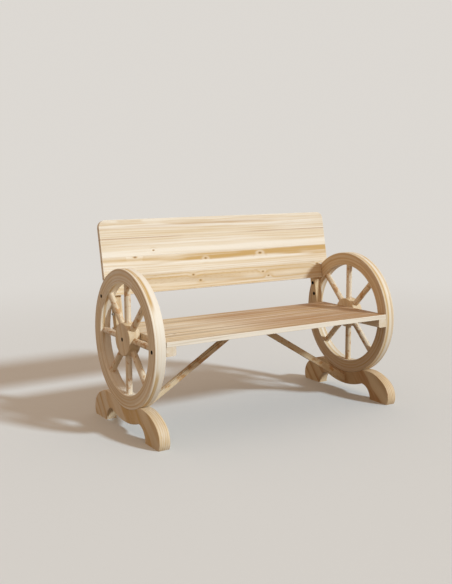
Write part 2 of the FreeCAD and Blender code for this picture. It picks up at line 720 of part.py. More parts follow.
def build_screw(group, length, sunk, turn, place_at, labels):
    """Countersunk wood screw, sunk below the face where it enters; +Z is the way it is driven."""
    radius = "Sizes.screw_dia / 2"
    head_radius = "Sizes.screw_head_dia / 2"
    head_end = f"({sunk} + Sizes.screw_head_height)"
    head = cone(head_radius, radius, "Sizes.screw_head_height", sunk)
    shank = cylinder(radius, f"{length} - Sizes.screw_head_height - Sizes.screw_tip", head_end)
    tip = cone(radius, "Sizes.screw_point / 2", "Sizes.screw_tip", f"{sunk} + {length} - Sizes.screw_tip")
    add_to_group(group, place(join([head, shank, tip]), turn, *place_at))
    gap = "Sizes.hole_gap"
    sink = cylinder(f"{head_radius} + {gap}", f"Sizes.driver_room + {head_end}", "-Sizes.driver_room")
    hole = cylinder(f"{radius} + {gap}", f"{sunk} + {length} + {gap}")
    drill(place(join([sink, hole]), turn, *place_at), *labels)


def build_cleat_screws(name, side):
    """Screws up through a cleat: one into each seat board, one sunk deep into the foot of the post."""
    x = signed(side, f"({RIM_IN} - Sizes.cleat_width + Sizes.seat_screw_inset)")
    seat_length = "(Sizes.cleat_height + Sizes.seat_screw_bite)"
    for board in range(SEAT_BOARDS):
        y = f"{SEAT_FRONT} + {board + 1} * {SEAT_BOARD} - Sizes.seat_screw_edge"
        build_screw("cleat_screws", seat_length, "0", UPRIGHT, (x, y, CLEAT_UNDER),
                    [f"{name}_cleat", f"seat_board_{board + 1}"])
    recess = "Sizes.post_screw_recess"
    post_length = f"(Sizes.cleat_height - {recess} + Sizes.post_screw_bite)"
    foot_y = f"{POST_FOOT_Y} + Sizes.post_depth / {LEAN_COS} / 2"
    build_screw("cleat_screws", post_length, recess, UPRIGHT, (signed(side, POST_X), foot_y, CLEAT_UNDER),
                [f"{name}_cleat", f"{name}_post"])


def build_back_screws(name, side):
    """Screws forward through a post, one into each back board."""
    turn = FreeCAD.Rotation(ALONG_X, 90 - value("Sizes.back_lean"))
    x = signed(side, f"({RIM_IN} - Sizes.post_thick + Sizes.back_screw_inset)")
    length = "(Sizes.post_depth + Sizes.back_screw_bite)"
    for board in range(BACK_BOARDS):
        rise, height = back_board_span(board)
        y, z = post_point(f"({rise} + {height} / 2)", "Sizes.post_depth")
        build_screw("back_screws", length, "0", turn, (x, y, z), [f"{name}_post", f"back_board_{board + 1}"])


def build_brace_screws(name, side):
    """Screws through both ends of a brace, into the foot and up into the seat."""
    grip = "Sizes.brace_screw_grip"
    length = f"({grip} + Sizes.brace_screw_bite)"
    head_room = "(Sizes.screw_head_dia / 2 + Sizes.screw_margin)"
    foot_z = f"{BRACE_FOOT} + {grip} * {BRACE_SLOPE} + {head_room}"
    build_screw("brace_screws", length, "0", outward_turn(side),
                (signed(side, f"({RIM_IN} - {grip})"), "0", foot_z), [f"{name}_brace", f"{name}_foot"])
    seat_x = f"(({grip} - Sizes.brace_butt) / {BRACE_SLOPE} + {head_room})"
    boards = [f"seat_board_{board + 1}" for board in range(SEAT_BOARDS)]
    build_screw("brace_screws", length, "0", UPRIGHT,
                (signed(side, seat_x), "0", f"{SEAT_UNDER} - {grip}"), [f"{name}_brace", *boards])


def finish_pieces():
    """Cut the holes, gather the groups and give each node its label.

    Returns:
        The finished nodes.
    """
    nodes = []
    for label, blank in blanks.items():
        tools = hole_tools.get(label, [])
        if not tools:
            blank.Label = label
            nodes.append(blank)
            continue
        blank.Label = f"{label}_blank"
        piece = subtract(blank, tools[0] if len(tools) == 1 else join(tools))
        piece.Label = label
        nodes.append(piece)
    for label, items in groups.items():
        group = doc.addObject("Part::Compound", label)
        group.Links = items
        group.Label = label
        nodes.append(group)
    doc.recompute()
    return nodes


def check(nodes):
    """Stop if an object failed or a node has no sound shape."""
    for item in doc.Objects:
        if "Invalid" in item.State or "Error" in item.State:
            raise RuntimeError(f"{item.Label} failed: {item.State}")
    for node in nodes:
        if node.Shape.isNull() or not node.Shape.isValid() or not node.Shape.Solids:
            raise RuntimeError(f"{node.Label} has no sound shape")


build_seat()
build_back()
for side_name, side_sign in SIDES.items():
    build_wheel(side_name, side_sign)
    build_foot(f"{side_name}_foot", side_sign)
    build_cleat(f"{side_name}_cleat", side_sign)
    build_post(f"{side_name}_post", side_sign)
    build_brace(f"{side_name}_brace", side_sign)
    build_wheel_bolts(side_name, side_sign)
    build_post_bolts(side_name, side_sign)
    build_foot_bolts(side_name, side_sign)
    build_cleat_screws(side_name, side_sign)
    build_back_screws(side_name, side_sign)
    build_brace_screws(side_name, side_sign)

pieces = finish_pieces()
check(pieces)
os.makedirs("parts", exist_ok=True)
for piece in pieces:
    piece.Shape.exportStep(f"parts/{piece.Label}.step")
    print(piece.Label, len(piece.Shape.Solids), round(piece.Shape.Volume))
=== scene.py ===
"""Wagon wheel bench in natural fir: its finishes, its screws, the studio and the camera."""
import logging
import math
from dataclasses import dataclass, field, replace
from enum import Enum
from typing import Any, Iterable, Optional, Union

import bmesh
import bpy
from mathutils import Matrix, Vector


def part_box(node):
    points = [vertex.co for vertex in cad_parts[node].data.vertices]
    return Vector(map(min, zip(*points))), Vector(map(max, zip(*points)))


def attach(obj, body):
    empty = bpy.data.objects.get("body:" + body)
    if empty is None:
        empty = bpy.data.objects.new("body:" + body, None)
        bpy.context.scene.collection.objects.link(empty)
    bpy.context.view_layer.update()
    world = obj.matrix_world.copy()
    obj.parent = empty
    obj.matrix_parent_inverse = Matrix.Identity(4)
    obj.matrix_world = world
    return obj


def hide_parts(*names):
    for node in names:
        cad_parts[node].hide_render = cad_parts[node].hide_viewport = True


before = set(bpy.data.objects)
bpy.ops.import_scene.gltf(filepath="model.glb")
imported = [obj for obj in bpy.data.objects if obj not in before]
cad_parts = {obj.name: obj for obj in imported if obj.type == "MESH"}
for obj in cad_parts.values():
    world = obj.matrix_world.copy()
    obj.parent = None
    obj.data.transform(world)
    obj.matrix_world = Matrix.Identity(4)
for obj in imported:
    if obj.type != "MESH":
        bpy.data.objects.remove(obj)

LOG = logging.getLogger("bench")
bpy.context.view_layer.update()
ALONG_BENCH = Vector((1, 0, 0))
TO_REAR = Vector((0, 1, 0))
UPWARD = Vector((0, 0, 1))
LEAN = math.radians(11.5)
UP_THE_BACK = Vector((0, math.sin(LEAN), math.cos(LEAN)))
OUT_OF_THE_BACK = Vector((0, -math.cos(LEAN), math.sin(LEAN)))
AXIS_HEIGHT = 0.36
POST_BOLTS = ((0.19099, 0.47512), (0.18116, 0.4268))
POST_BORE_RADIUS = 0.0057
WHEEL_BORE_RADIUS = 0.0072
NOISE_MEAN = 0.5
SEED_STEP = (7.31, -1.0, 2.2)
SALT_STEP = (3.7, 5.3, 1.9)
ALL_ALONG = (-9.0, 9.0)
Triple = tuple[float, float, float]
Pair = tuple[float, float]


class Value:
    """A shader value or vector that takes part in Python expressions."""

    def __init__(self, nodes: "Nodes", socket: bpy.types.NodeSocket) -> None:
        """Keep an output socket and the tree that it belongs to."""
        self.nodes = nodes
        self.socket = socket

    def math(self, operation: str, *others: "Number") -> "Value":
        """Math node on this value and others."""
        return self.nodes.math(operation, self, *others)

    def smooth(self, low: float, high: float) -> "Value":
        """Rise softly from 0 to 1.

        Args:
            low: Where the rise begins.
            high: Where it ends.

        Returns:
            The risen value.
        """
        return self.nodes.node(
            "ShaderNodeMapRange",
            {"interpolation_type": "SMOOTHSTEP"},
            {"Value": self, "From Min": low, "From Max": high},
        )

    def __add__(self, other: "Number") -> "Value":
        """Sum."""
        return self.math("ADD", other)

    __radd__ = __add__

    def __sub__(self, other: "Number") -> "Value":
        """Difference."""
        return self.math("SUBTRACT", other)

    def __rsub__(self, other: float) -> "Value":
        """Difference with a number on the left."""
        return self.nodes.math("SUBTRACT", other, self)

    def __mul__(self, other: "Number") -> "Value":
        """Product."""
        return self.math("MULTIPLY", other)

    __rmul__ = __mul__

    def __truediv__(self, other: "Number") -> "Value":
        """Quotient."""
        return self.math("DIVIDE", other)

    def __abs__(self) -> "Value":
        """Size without sign."""
        return self.math("ABSOLUTE")


Number = Union[Value, float]


class Nodes:
    """A node tree written as expressions."""

    MIX_A, MIX_B, MIX_RESULT = 6, 7, 2

    def __init__(self, tree: bpy.types.NodeTree) -> None:
        """Work in a node tree."""
        self.tree = tree
        self.places: dict[str, Value] = {}

    def node(
        self,
        kind: str,
        settings: Optional[dict[str, Any]] = None,
        values: Optional[dict[Union[str, int], Any]] = None,
        output: Union[str, int] = 0,
    ) -> Value:
        """Add a node.

        Args:
            kind: Type name of the node.
            settings: Properties of the node, set first.
            values: Values or links of its sockets, by name or number.
            output: The output wanted.

        Returns:
            The output as a value.
        """
        made = self.tree.nodes.new(kind)
        for name, setting in (settings or {}).items():
            setattr(made, name, setting)
        for key, value in (values or {}).items():
            self.feed(made.inputs[key], value)
        return Value(self, made.outputs[output])

    def feed(self, socket: bpy.types.NodeSocket, value: Any) -> None:
        """Link a socket to a value, or set it to a constant.

        Args:
            socket: The input socket.
            value: A value of this tree, or a constant.
        """
        if isinstance(value, Value):
            self.tree.links.new(value.socket, socket)
        else:
            socket.default_value = value

    def math(self, operation: str, *values: Number) -> Value:
        """Math node on some values."""
        return self.node("ShaderNodeMath", {"operation": operation}, dict(enumerate(values)))

    def vector(self, operation: str, *values: Any, output: Union[str, int] = 0) -> Value:
        """Vector Math node on some vectors."""
        settings = {"operation": operation}
        return self.node("ShaderNodeVectorMath", settings, dict(enumerate(values)), output)

    def place(self, output: str) -> Value:
        """Texture coordinate of the piece, made once.

        Args:
            output: Name of the coordinate.

        Returns:
            The coordinate as a vector.
        """
        if output not in self.places:
            self.places[output] = self.node("ShaderNodeTexCoord", output=output)
        return self.places[output]

    def split(self, vector: Value) -> list[Value]:
        """The three parts of a vector."""
        made = self.node("ShaderNodeSeparateXYZ", None, {0: vector}).socket.node
        return [Value(self, socket) for socket in made.outputs]

    def join(self, x: Number, y: Number, z: Number) -> Value:
        """Vector from three parts."""
        return self.node("ShaderNodeCombineXYZ", None, {0: x, 1: y, 2: z})

    def blend(self, first: Any, second: Any, amount: Number) -> Value:
        """Mix two colours.

        Args:
            first: Colour where the amount is 0.
            second: Colour where the amount is 1.
            amount: Share of the second colour.

        Returns:
            The mixed colour.
        """
        colours = [tint if isinstance(tint, Value) else (*tint, 1.0) for tint in (first, second)]
        return self.node(
            "ShaderNodeMix",
            {"data_type": "RGBA"},
            {0: amount, self.MIX_A: colours[0], self.MIX_B: colours[1]},
            self.MIX_RESULT,
        )

    def noise(self, point: Value, detail: float, fourth: Optional[Number] = None) -> Value:
        """Noise at a point that already has its scale.

        Args:
            point: Where the noise is read.
            detail: Number of finer layers.
            fourth: Fourth coordinate, for noise in four dimensions.

        Returns:
            The noise, about 0.5 in the mean.
        """
        settings = {"noise_dimensions": "3D" if fourth is None else "4D"}
        values: dict[str, Any] = {"Vector": point, "Scale": 1.0, "Detail": detail}
        if fourth is not None:
            values["W"] = fourth
        return self.node("ShaderNodeTexNoise", settings, values)

    def seen(self) -> Value:
        """Tell what is looked at from what only lights the bench.

        Returns:
            1 for what the camera, gloss and glass see, 0 for the light that falls on the bench.
        """
        rays = ("Is Camera Ray", "Is Glossy Ray", "Is Transmission Ray")
        camera, gloss, glass = (self.node("ShaderNodeLightPath", output=ray) for ray in rays)
        return camera.math("MAXIMUM", gloss).math("MAXIMUM", glass)

    def bump(self, height: Value, strength: float, depth: float) -> Value:
        """Surface normal from a height between 0 and 1."""
        values = {"Strength": strength, "Distance": depth, "Height": height}
        return self.node("ShaderNodeBump", None, values)


class Shader(Nodes):
    """A material with one Principled shader."""

    def __init__(self, name: str) -> None:
        """Start a material.

        Args:
            name: Name of the material.
        """
        self.material = bpy.data.materials.new(name)
        self.material.use_nodes = True
        super().__init__(self.material.node_tree)
        self.surface = self.tree.nodes["Principled BSDF"]

    def set(self, **inputs: Any) -> None:
        """Set inputs of the shader, with _ for a space in their names."""
        for name, value in inputs.items():
            self.feed(self.surface.inputs[name.replace("_", " ")], value)


class Tint(Enum):
    """Colours found in one fir board."""

    WHITE = "white"
    HONEY = "honey"
    AMBER = "amber"
    RUST = "rust"
    BROWN = "brown"


@dataclass(frozen=True)
class Band:
    """A coloured streak along a piece: its line across the grain, its extent along it, in metres."""

    line: float
    half: float
    start: float
    end: float
    tint: Tint
    strength: float
    slope: float = 0.0
    gaps: float = 0.0


@dataclass(frozen=True)
class Knot:
    """A knot: its place along and across the grain and its radius, in metres, and its pale halo."""

    along: float
    across: float
    radius: float
    halo: float = 0.7


@dataclass(frozen=True)
class Bore:
    """A bolt recess along the bench, whose wall gets painted shade: its place to the rear and up, and
    its radius, in metres.
    """

    rear: float
    height: float
    radius: float


@dataclass(frozen=True)
class Layer:
    """A noise in the wood: waves to the metre along and across the grain, finer layers and a salt.

    A mask that is made from the noise rises between the two values of the last field.
    """

    along: float
    across: float
    detail: float
    salt: float
    mask: Pair = (0.0, 1.0)


SWAY = Layer(1.6, 9.0, 2.0, 1.0)
BROAD = Layer(1.2, 30.0, 2.0, 2.0, (0.34, 0.62))
NARROW = Layer(3.6, 165.0, 3.0, 3.0, (0.44, 0.74))
FIBRE = Layer(40.0, 1500.0, 2.0, 4.0, (0.55, 0.8))
PATCH = Layer(1.0, 1.5, 3.0, 5.0, (0.52, 0.62))
FINE = Layer(11.0, 640.0, 2.0, 6.0, (0.45, 0.72))
FLECK = Layer(34.0, 520.0, 1.0, 7.0, (0.6, 0.7))
GAP = Layer(5.0, 14.0, 1.0, 8.0, (0.42, 0.58))
LINE = Layer(1.2, 40.0, 4.0, 9.0, (0.47, 0.6))


@dataclass(frozen=True)
class Figure:
    """How the growth rings, streaks and marks of one piece lie, and the bolt recesses that get painted
    shade.
    """

    heart: Pair = (0.0, -0.07)
    pitch: float = 0.0045
    sway: float = 0.008
    rings: float = 0.5
    ring_tint: Tint = Tint.AMBER
    streaks: float = 0.5
    tone: float = 0.0
    flecks: float = 0.0
    stretch: float = 1.0
    patches: float = 0.0
    patch_size: float = 0.05
    bands: tuple[Band, ...] = ()
    knots: tuple[Knot, ...] = ()
    shaded_bores: tuple[Bore, ...] = ()

    @property
    def patch(self) -> Layer:
        """Noise of the copper patches: PATCH, whose waves are to the patch, brought to the metre."""
        waves = 1.0 / self.patch_size
        return replace(PATCH, along=PATCH.along * waves, across=PATCH.across * waves)


class Grain:
    """Coordinates that follow the wood: u along the grain, v and w across it, in metres."""

    shader: Shader
    u: Value
    v: Value
    w: Value

    def lay(self, shader: Shader) -> None:
        """Make the coordinates in a shader."""
        raise NotImplementedError

    def noise(self, layer: Layer, stretch: float = 1.0) -> Value:
        """Noise with its own scale along and across the grain."""
        raise NotImplementedError

    def mask(self, layer: Layer, stretch: float = 1.0) -> Value:
        """Mask made from a noise."""
        return self.noise(layer, stretch).smooth(*layer.mask)

    def end(self) -> Optional[Value]:
        """1 on cut ends of the grain, 0 along it."""
        return None

    def arris(self) -> Optional[Value]:
        """1 along the edges of the piece, 0 on its faces."""
        return None


@dataclass
class StraightGrain(Grain):
    """Grain that runs straight through a piece, in its own turned frame."""

    origin: Vector
    along: Vector
    across: Vector
    half: Optional[Triple] = None
    seed: float = 0.0
    flatness: float = 1.0
    end_facing: Pair = (0.6, 0.95)
    edge: Pair = (0.0006, 0.0045)

    def lay(self, shader: Shader) -> None:
        """Turn the object's own coordinates into the frame of the piece.

        Args:
            shader: The shader that gets the coordinates.
        """
        through = self.along.cross(self.across)
        turn = Matrix((self.along, self.across, through)).transposed().to_euler()
        self.shader = shader
        self.local = shader.node(
            "ShaderNodeMapping",
            {"vector_type": "TEXTURE"},
            {"Vector": shader.place("Object"), "Location": self.origin, "Rotation": turn},
        )
        self.u, self.v, self.w = shader.split(self.local)

    def noise(self, layer: Layer, stretch: float = 1.0) -> Value:
        """Noise stretched along the grain.

        Args:
            layer: The noise wanted.
            stretch: Factor on its waves along the grain.

        Returns:
            The noise.
        """
        steps = zip(SEED_STEP, SALT_STEP)
        shift = tuple(self.seed * seed_step + layer.salt * salt_step for seed_step, salt_step in steps)
        scale = (layer.along * stretch, layer.across / self.flatness, layer.across)
        point = self.shader.vector("MULTIPLY_ADD", self.local, scale, shift)
        return self.shader.noise(point, layer.detail)

    def end(self) -> Optional[Value]:
        """Find the cut ends of the grain.

        Returns:
            1 on cut ends, 0 along the grain.
        """
        normal = self.shader.place("Normal")
        facing = self.shader.vector("DOT_PRODUCT", normal, tuple(self.along), output="Value")
        return abs(facing).smooth(*self.end_facing)

    def arris(self) -> Optional[Value]:
        """1 along the edges of a board, 0 on its faces.

        Returns:
            The mask, or nothing where the piece isn't a board.
        """
        if self.half is None:
            return None
        deep = [size - abs(part) for size, part in zip(self.half, (self.u, self.v, self.w))]
        least = deep[1].math("MINIMUM", deep[2])
        most = deep[1].math("MAXIMUM", deep[2])
        return 1.0 - least.math("MAXIMUM", most.math("MINIMUM", deep[0])).smooth(*self.edge)


@dataclass
class RoundGrain(Grain):
    """Grain that follows a rim of felloes round the wheel axis."""

    axis_height: float
    radius: float
    middle: float
    half: Pair
    count: int
    felloe_step: float = 0.6
    felloe_most: float = 0.43
    edge: Pair = (0.0015, 0.0055)

    def lay(self, shader: Shader) -> None:
        """Measure round the axis, through the thickness of the rim and out from its middle line.

        Args:
            shader: The shader that gets the coordinates.
        """
        self.shader = shader
        self.x, y, height = shader.split(shader.place("Object"))
        z = height - self.axis_height
        reach = (y * y + z * z).math("SQRT")
        turn = y.math("ARCTAN2", z)
        number = (turn * (self.count / math.tau)).math("ROUND")
        number = number.math("FLOORED_MODULO", float(self.count))
        self.seed = (number * self.felloe_step).math("FLOORED_MODULO", self.felloe_most)
        self.turn_y = y / reach * self.radius
        self.turn_z = z / reach * self.radius
        self.u = turn * self.radius
        self.v = self.x - self.middle
        self.w = reach - self.radius

    def noise(self, layer: Layer, stretch: float = 1.0) -> Value:
        """Noise stretched along the rim, a little different on each felloe.

        Args:
            layer: The noise wanted.
            stretch: Factor on its waves along the rim.

        Returns:
            The noise.
        """
        along, across = layer.along * stretch, layer.across
        point = self.shader.join(self.turn_y * along, self.turn_z * along, self.w * across)
        fourth = self.x * across + self.seed + layer.salt * SALT_STEP[0]
        return self.shader.noise(point, layer.detail, fourth)

    def arris(self) -> Optional[Value]:
        """1 along the edges of the rim, 0 on its faces."""
        thick, width = (size - abs(part) for size, part in zip(self.half, (self.v, self.w)))
        return 1.0 - thick.math("MAXIMUM", width).smooth(*self.edge)


@dataclass
class SpokeGrain(Grain):
    """Grain along each spoke, outwards from the wheel axis."""

    axis_height: float
    count: int
    middle: float
    spoke_step: float = 5.3
    side_step: float = 2.1

    def lay(self, shader: Shader) -> None:
        """Fold the turn of all spokes into one, and number them.

        Args:
            shader: The shader that gets the coordinates.
        """
        self.shader = shader
        x, y, height = shader.split(shader.place("Object"))
        z = height - self.axis_height
        step = math.tau / self.count
        turn = y.math("ARCTAN2", z)
        number = (turn / step).math("ROUND")
        off = turn - number * step
        reach = (y * y + z * z).math("SQRT")
        self.u = reach * off.math("COSINE")
        self.w = reach * off.math("SINE")
        self.v = abs(x) - self.middle
        number = number.math("FLOORED_MODULO", float(self.count))
        self.seed = number * self.spoke_step + x.math("SIGN") * self.side_step

    def noise(self, layer: Layer, stretch: float = 1.0) -> Value:
        """Noise stretched along a spoke, different on each one.

        Args:
            layer: The noise wanted.
            stretch: Factor on its waves along the spoke.

        Returns:
            The noise.
        """
        along, across = layer.along * stretch, layer.across
        point = self.shader.join(self.u * along, self.v * across, self.w * across)
        return self.shader.noise(point, layer.detail, self.seed + layer.salt * SALT_STEP[0])


@dataclass(frozen=True)
class Fir:
    """Planed, unstained fir with white sapwood and amber late wood.

    Shares say how strongly a mark shows, and pairs give the values between which it fades.
    """

    white: Triple = (0.85, 0.785, 0.68)
    pale: Triple = (0.775, 0.665, 0.505)
    honey: Triple = (0.655, 0.5, 0.3)
    amber: Triple = (0.56, 0.355, 0.125)
    copper: Triple = (0.53, 0.295, 0.12)
    rust: Triple = (0.44, 0.245, 0.11)
    brown: Triple = (0.16, 0.08, 0.035)
    # Painted shade: near black that darkens the walls of the bolt recesses.
    bore_shade: Triple = (0.02, 0.015, 0.012)
    roughness: float = 0.56
    late_rough: float = 0.1
    fibre_rough: float = 0.2
    specular: float = 0.35
    late_height: float = 0.15
    fibre_height: float = 0.6
    bump_strength: float = 0.35
    bump_depth: float = 0.0004
    fine_share: float = 0.6
    line_share: float = 0.4
    fibre_share: float = 0.14
    arris_share: float = 0.35
    end_share: float = 0.02
    end_late_share: float = 0.17
    ring_rise: Pair = (0.35, 0.85)
    ring_fall: Pair = (0.9, 1.0)
    ring_share: float = 0.5
    ring_streaks: Pair = (0.35, 0.65)
    fleck_ground: Pair = (0.4, 0.6)
    bend_reach: float = 4.5
    bend_share: float = 0.3
    bend_halo_share: float = 1.9
    knot_aspect: float = 0.55
    knot_halo: Pair = (1.1, 2.5)
    knot_rim: Pair = (0.65, 1.15)
    knot_rim_share: float = 0.75
    knot_middle: Pair = (0.2, 0.62)
    knot_middle_share: float = 0.92
    bore_fade: float = 1.16
    band_sway: float = 2.0
    band_edge: Pair = (0.3, 1.2)
    band_fade: float = 0.12
    band_share: float = 0.4
    band_streak_share: float = 0.8
    band_streaks: Pair = (0.3, 0.65)

    def colour(self, tint: Tint) -> Triple:
        """Colour of a named tint."""
        return getattr(self, tint.value)

    def make(self, name: str, grain: Grain, figure: Figure) -> bpy.types.Material:
        """Material of one piece or kind of piece.

        Args:
            name: Name of the material.
            grain: The way the wood lies in the piece.
            figure: Its rings, streaks and marks.

        Returns:
            The finished material.
        """
        shader = Shader(name)
        grain.lay(shader)
        sway = grain.noise(SWAY, figure.stretch) - NOISE_MEAN
        narrow = grain.noise(NARROW, figure.stretch)
        fibre = grain.noise(FIBRE)
        spots = [self.knot_spot(grain, knot) for knot in figure.knots]
        late = self.late_wood(grain, figure, sway, spots)

        colour = self.ground(grain, figure, narrow, late)
        for band in figure.bands:
            mask = self.band_mask(grain, band, sway, narrow)
            colour = shader.blend(colour, self.colour(band.tint), mask)
        for spot, knot in zip(spots, figure.knots):
            colour = self.add_knot(shader, colour, spot, knot.halo)
        end = grain.end()
        if end is not None:
            share = self.end_share + self.end_late_share * late
            colour = shader.blend(colour, self.rust, end * share)
        arris = grain.arris()
        if arris is not None:
            colour = shader.blend(colour, self.white, arris * self.arris_share)
        colour = shader.blend(colour, self.rust, fibre.smooth(*FIBRE.mask) * self.fibre_share)
        # Painted shade: the walls of the bolt recesses are darkened to near black.
        for bore in figure.shaded_bores:
            colour = shader.blend(colour, self.bore_shade, self.bore_mask(shader, bore))

        rough = self.roughness + late * self.late_rough + (fibre - NOISE_MEAN) * self.fibre_rough
        height = fibre * self.fibre_height + late * self.late_height
        normal = shader.bump(height, self.bump_strength, self.bump_depth)
        shader.set(Base_Color=colour, Roughness=rough, Normal=normal, Specular_IOR_Level=self.specular)
        return shader.material

    def late_wood(self, grain: Grain, figure: Figure, sway: Value, spots: list[Value]) -> Value:
        """Dark lines of the growth rings, which bend round the knots.

        Args:
            grain: The way the wood lies in the piece.
            figure: Its rings, streaks and marks.
            sway: Slow noise that bends the rings.
            spots: Distances from the knots.

        Returns:
            1 in the late wood of each ring, 0 in the early wood.
        """
        v = grain.v - figure.heart[0]
        w = grain.w - figure.heart[1]
        reach = (v * v + w * w).math("SQRT") + sway * figure.sway
        for spot, knot in zip(spots, figure.knots):
            bend = knot.radius * (self.bend_share + self.bend_halo_share * knot.halo)
            reach = reach + (1.0 - spot.smooth(0.0, self.bend_reach)) * bend
        phase = (reach / figure.pitch).math("FRACT")
        return phase.smooth(*self.ring_rise) * (1.0 - phase.smooth(*self.ring_fall))

    def ground(self, grain: Grain, figure: Figure, narrow: Value, late: Value) -> Value:
        """Colour of the clear wood.

        Args:
            grain: The way the wood lies in the piece.
            figure: Its rings, streaks and marks.
            narrow: Noise of the narrow streaks.
            late: Mask of the late wood.

        Returns:
            The colour without marks.
        """
        shader = grain.shader
        broad = grain.noise(BROAD, figure.stretch)
        colour = shader.blend(self.white, self.pale, broad.smooth(*BROAD.mask))
        if figure.tone:
            colour = shader.blend(colour, self.honey, figure.tone * (NOISE_MEAN + broad))
        colour = shader.blend(colour, self.honey, narrow.smooth(*NARROW.mask) * figure.streaks)
        fine = grain.mask(FINE, figure.stretch) * (figure.streaks * self.fine_share)
        colour = shader.blend(colour, self.honey, fine)
        line = grain.mask(LINE, figure.stretch) * (figure.streaks ** 2 * self.line_share)
        colour = shader.blend(colour, self.brown, line)
        share = self.ring_share + (1.0 - self.ring_share) * narrow.smooth(*self.ring_streaks)
        colour = shader.blend(colour, self.colour(figure.ring_tint), late * share * figure.rings)
        if figure.flecks:
            fleck = grain.mask(FLECK) * broad.smooth(*self.fleck_ground)
            colour = shader.blend(colour, self.rust, fleck * figure.flecks)
        if figure.patches:
            patch = grain.mask(figure.patch)
            colour = shader.blend(colour, self.copper, patch * figure.patches)
        return colour

    def knot_spot(self, grain: Grain, knot: Knot) -> Value:
        """Distance from the middle of a knot.

        Args:
            grain: The way the wood lies in the piece.
            knot: The knot.

        Returns:
            The distance in radii of the knot.
        """
        along = (grain.u - knot.along) * (self.knot_aspect / knot.radius)
        across = (grain.v - knot.across) * (1.0 / knot.radius)
        return (along * along + across * across).math("SQRT")

    def add_knot(self, shader: Shader, colour: Value, spot: Value, halo: float) -> Value:
        """Lay a knot over a colour: pale wood round it, an amber rim and a brown middle.

        Args:
            shader: The shader that it is in.
            colour: Colour of the wood without the knot.
            spot: Distance from the middle of the knot.
            halo: How pale the wood round it is.

        Returns:
            The colour with the knot.
        """
        parts = (
            (self.white, self.knot_halo, halo),
            (self.amber, self.knot_rim, self.knot_rim_share),
            (self.brown, self.knot_middle, self.knot_middle_share),
        )
        for tint, fade, share in parts:
            colour = shader.blend(colour, tint, (1.0 - spot.smooth(*fade)) * share)
        return colour

    def bore_mask(self, shader: Shader, bore: Bore) -> Value:
        """1 on the wall of a bolt recess, which is darkened to near black as painted shade, and 0
        outside it.

        Args:
            shader: The shader that it is in.
            bore: The recess.

        Returns:
            The mask.
        """
        _, y, z = shader.split(shader.place("Object"))
        rear, rise = y - bore.rear, z - bore.height
        reach = (rear * rear + rise * rise).math("SQRT")
        return 1.0 - reach.smooth(bore.radius, bore.radius * self.bore_fade)

    def band_mask(self, grain: Grain, band: Band, sway: Value, narrow: Value) -> Value:
        """Strength of a coloured streak over the piece.

        Args:
            grain: The way the wood lies in the piece.
            band: The streak.
            sway: Slow noise that bends it.
            narrow: Noise that breaks it up.

        Returns:
            The strength, from 0 to 1.
        """
        off = abs(grain.v - grain.u * band.slope - band.line + sway * (band.half * self.band_sway))
        across = 1.0 - off.smooth(*(band.half * edge for edge in self.band_edge))
        fade = self.band_fade * (band.end - band.start)
        begin = grain.u.smooth(band.start - fade, band.start + fade)
        finish = 1.0 - grain.u.smooth(band.end - fade, band.end + fade)
        share = self.band_share + narrow.smooth(*self.band_streaks) * self.band_streak_share
        strength = (band.strength * share).math("MINIMUM", 1.0)
        if band.gaps:
            strength = strength * (1.0 - band.gaps * grain.mask(GAP))
        return across * begin * finish * strength


@dataclass(frozen=True)
class Beech(Fir):
    """Redder, denser wood of the dowels."""

    white: Triple = (0.78, 0.6, 0.42)
    pale: Triple = (0.74, 0.54, 0.36)
    honey: Triple = (0.6, 0.4, 0.24)


@dataclass(frozen=True)
class Steel:
    """Steel of the bolts, inserts and screws, blotched and finely scratched."""

    colour: Triple
    worn: Triple
    metallic: float
    roughness: float
    specular: float = 0.5
    blotches: Triple = (420.0, 420.0, 420.0)
    blotch_mask: Pair = (0.45, 0.75)
    blotch_share: float = 0.7
    scratches: Triple = (2400.0, 300.0, 900.0)
    scratch_rough: float = 0.25
    detail: float = 2.0
    bump_strength: float = 0.2
    bump_depth: float = 0.0001

    def make(self, name: str) -> bpy.types.Material:
        """Material with blotches in its colour and fine scratches in its gloss.

        Args:
            name: Name of the material.

        Returns:
            The finished material.
        """
        shader = Shader(name)
        place = shader.place("Object")
        blotch = shader.noise(shader.vector("MULTIPLY", place, self.blotches), self.detail)
        scratch = shader.noise(shader.vector("MULTIPLY", place, self.scratches), self.detail)
        worn = blotch.smooth(*self.blotch_mask) * self.blotch_share
        shader.set(
            Base_Color=shader.blend(self.colour, self.worn, worn),
            Roughness=self.roughness + (scratch - NOISE_MEAN) * self.scratch_rough,
            Normal=shader.bump(scratch, self.bump_strength, self.bump_depth),
            Metallic=self.metallic,
            Specular_IOR_Level=self.specular,
        )
        return shader.material


def dress(nodes: Iterable[str], material: bpy.types.Material) -> None:
    """Give CAD nodes a material.

    Args:
        nodes: Names of the nodes.
        material: The material for their slots.
    """
    for name in nodes:
        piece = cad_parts[name]
        if not piece.material_slots:
            piece.data.materials.append(material)
        for place in piece.material_slots:
            place.material = material
        LOG.info("dressed %s in %s", name, material.name)


def dress_in_fir(node: str, fir: Fir, grain: Grain, figure: Figure) -> None:
    """Give one CAD node its own fir.

    Args:
        node: Name of the node.
        fir: The wood.
        grain: The way the wood lies in the piece.
        figure: Its rings, streaks and marks.
    """
    dress([node], fir.make(f"fir_{node}", grain, figure))


def middle_of(node: str) -> tuple[Vector, Triple]:
    """Centre and half sizes of a node's box."""
    low, high = (Vector(corner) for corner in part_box(node))
    return (low + high) / 2, tuple((high - low) / 2)


def pick(*pieces: bpy.types.Object) -> None:
    """Select these objects alone; the first becomes active.

    Args:
        pieces: The objects.
    """
    bpy.ops.object.select_all(action="DESELECT")
    for piece in pieces:
        piece.select_set(True)
    bpy.context.view_layer.objects.active = pieces[0]


class Side(Enum):
    """The two ends of the bench."""

    LEFT = -1
    RIGHT = 1

    @property
    def word(self) -> str:
        """Name of the side in node names."""
        return self.name.lower()


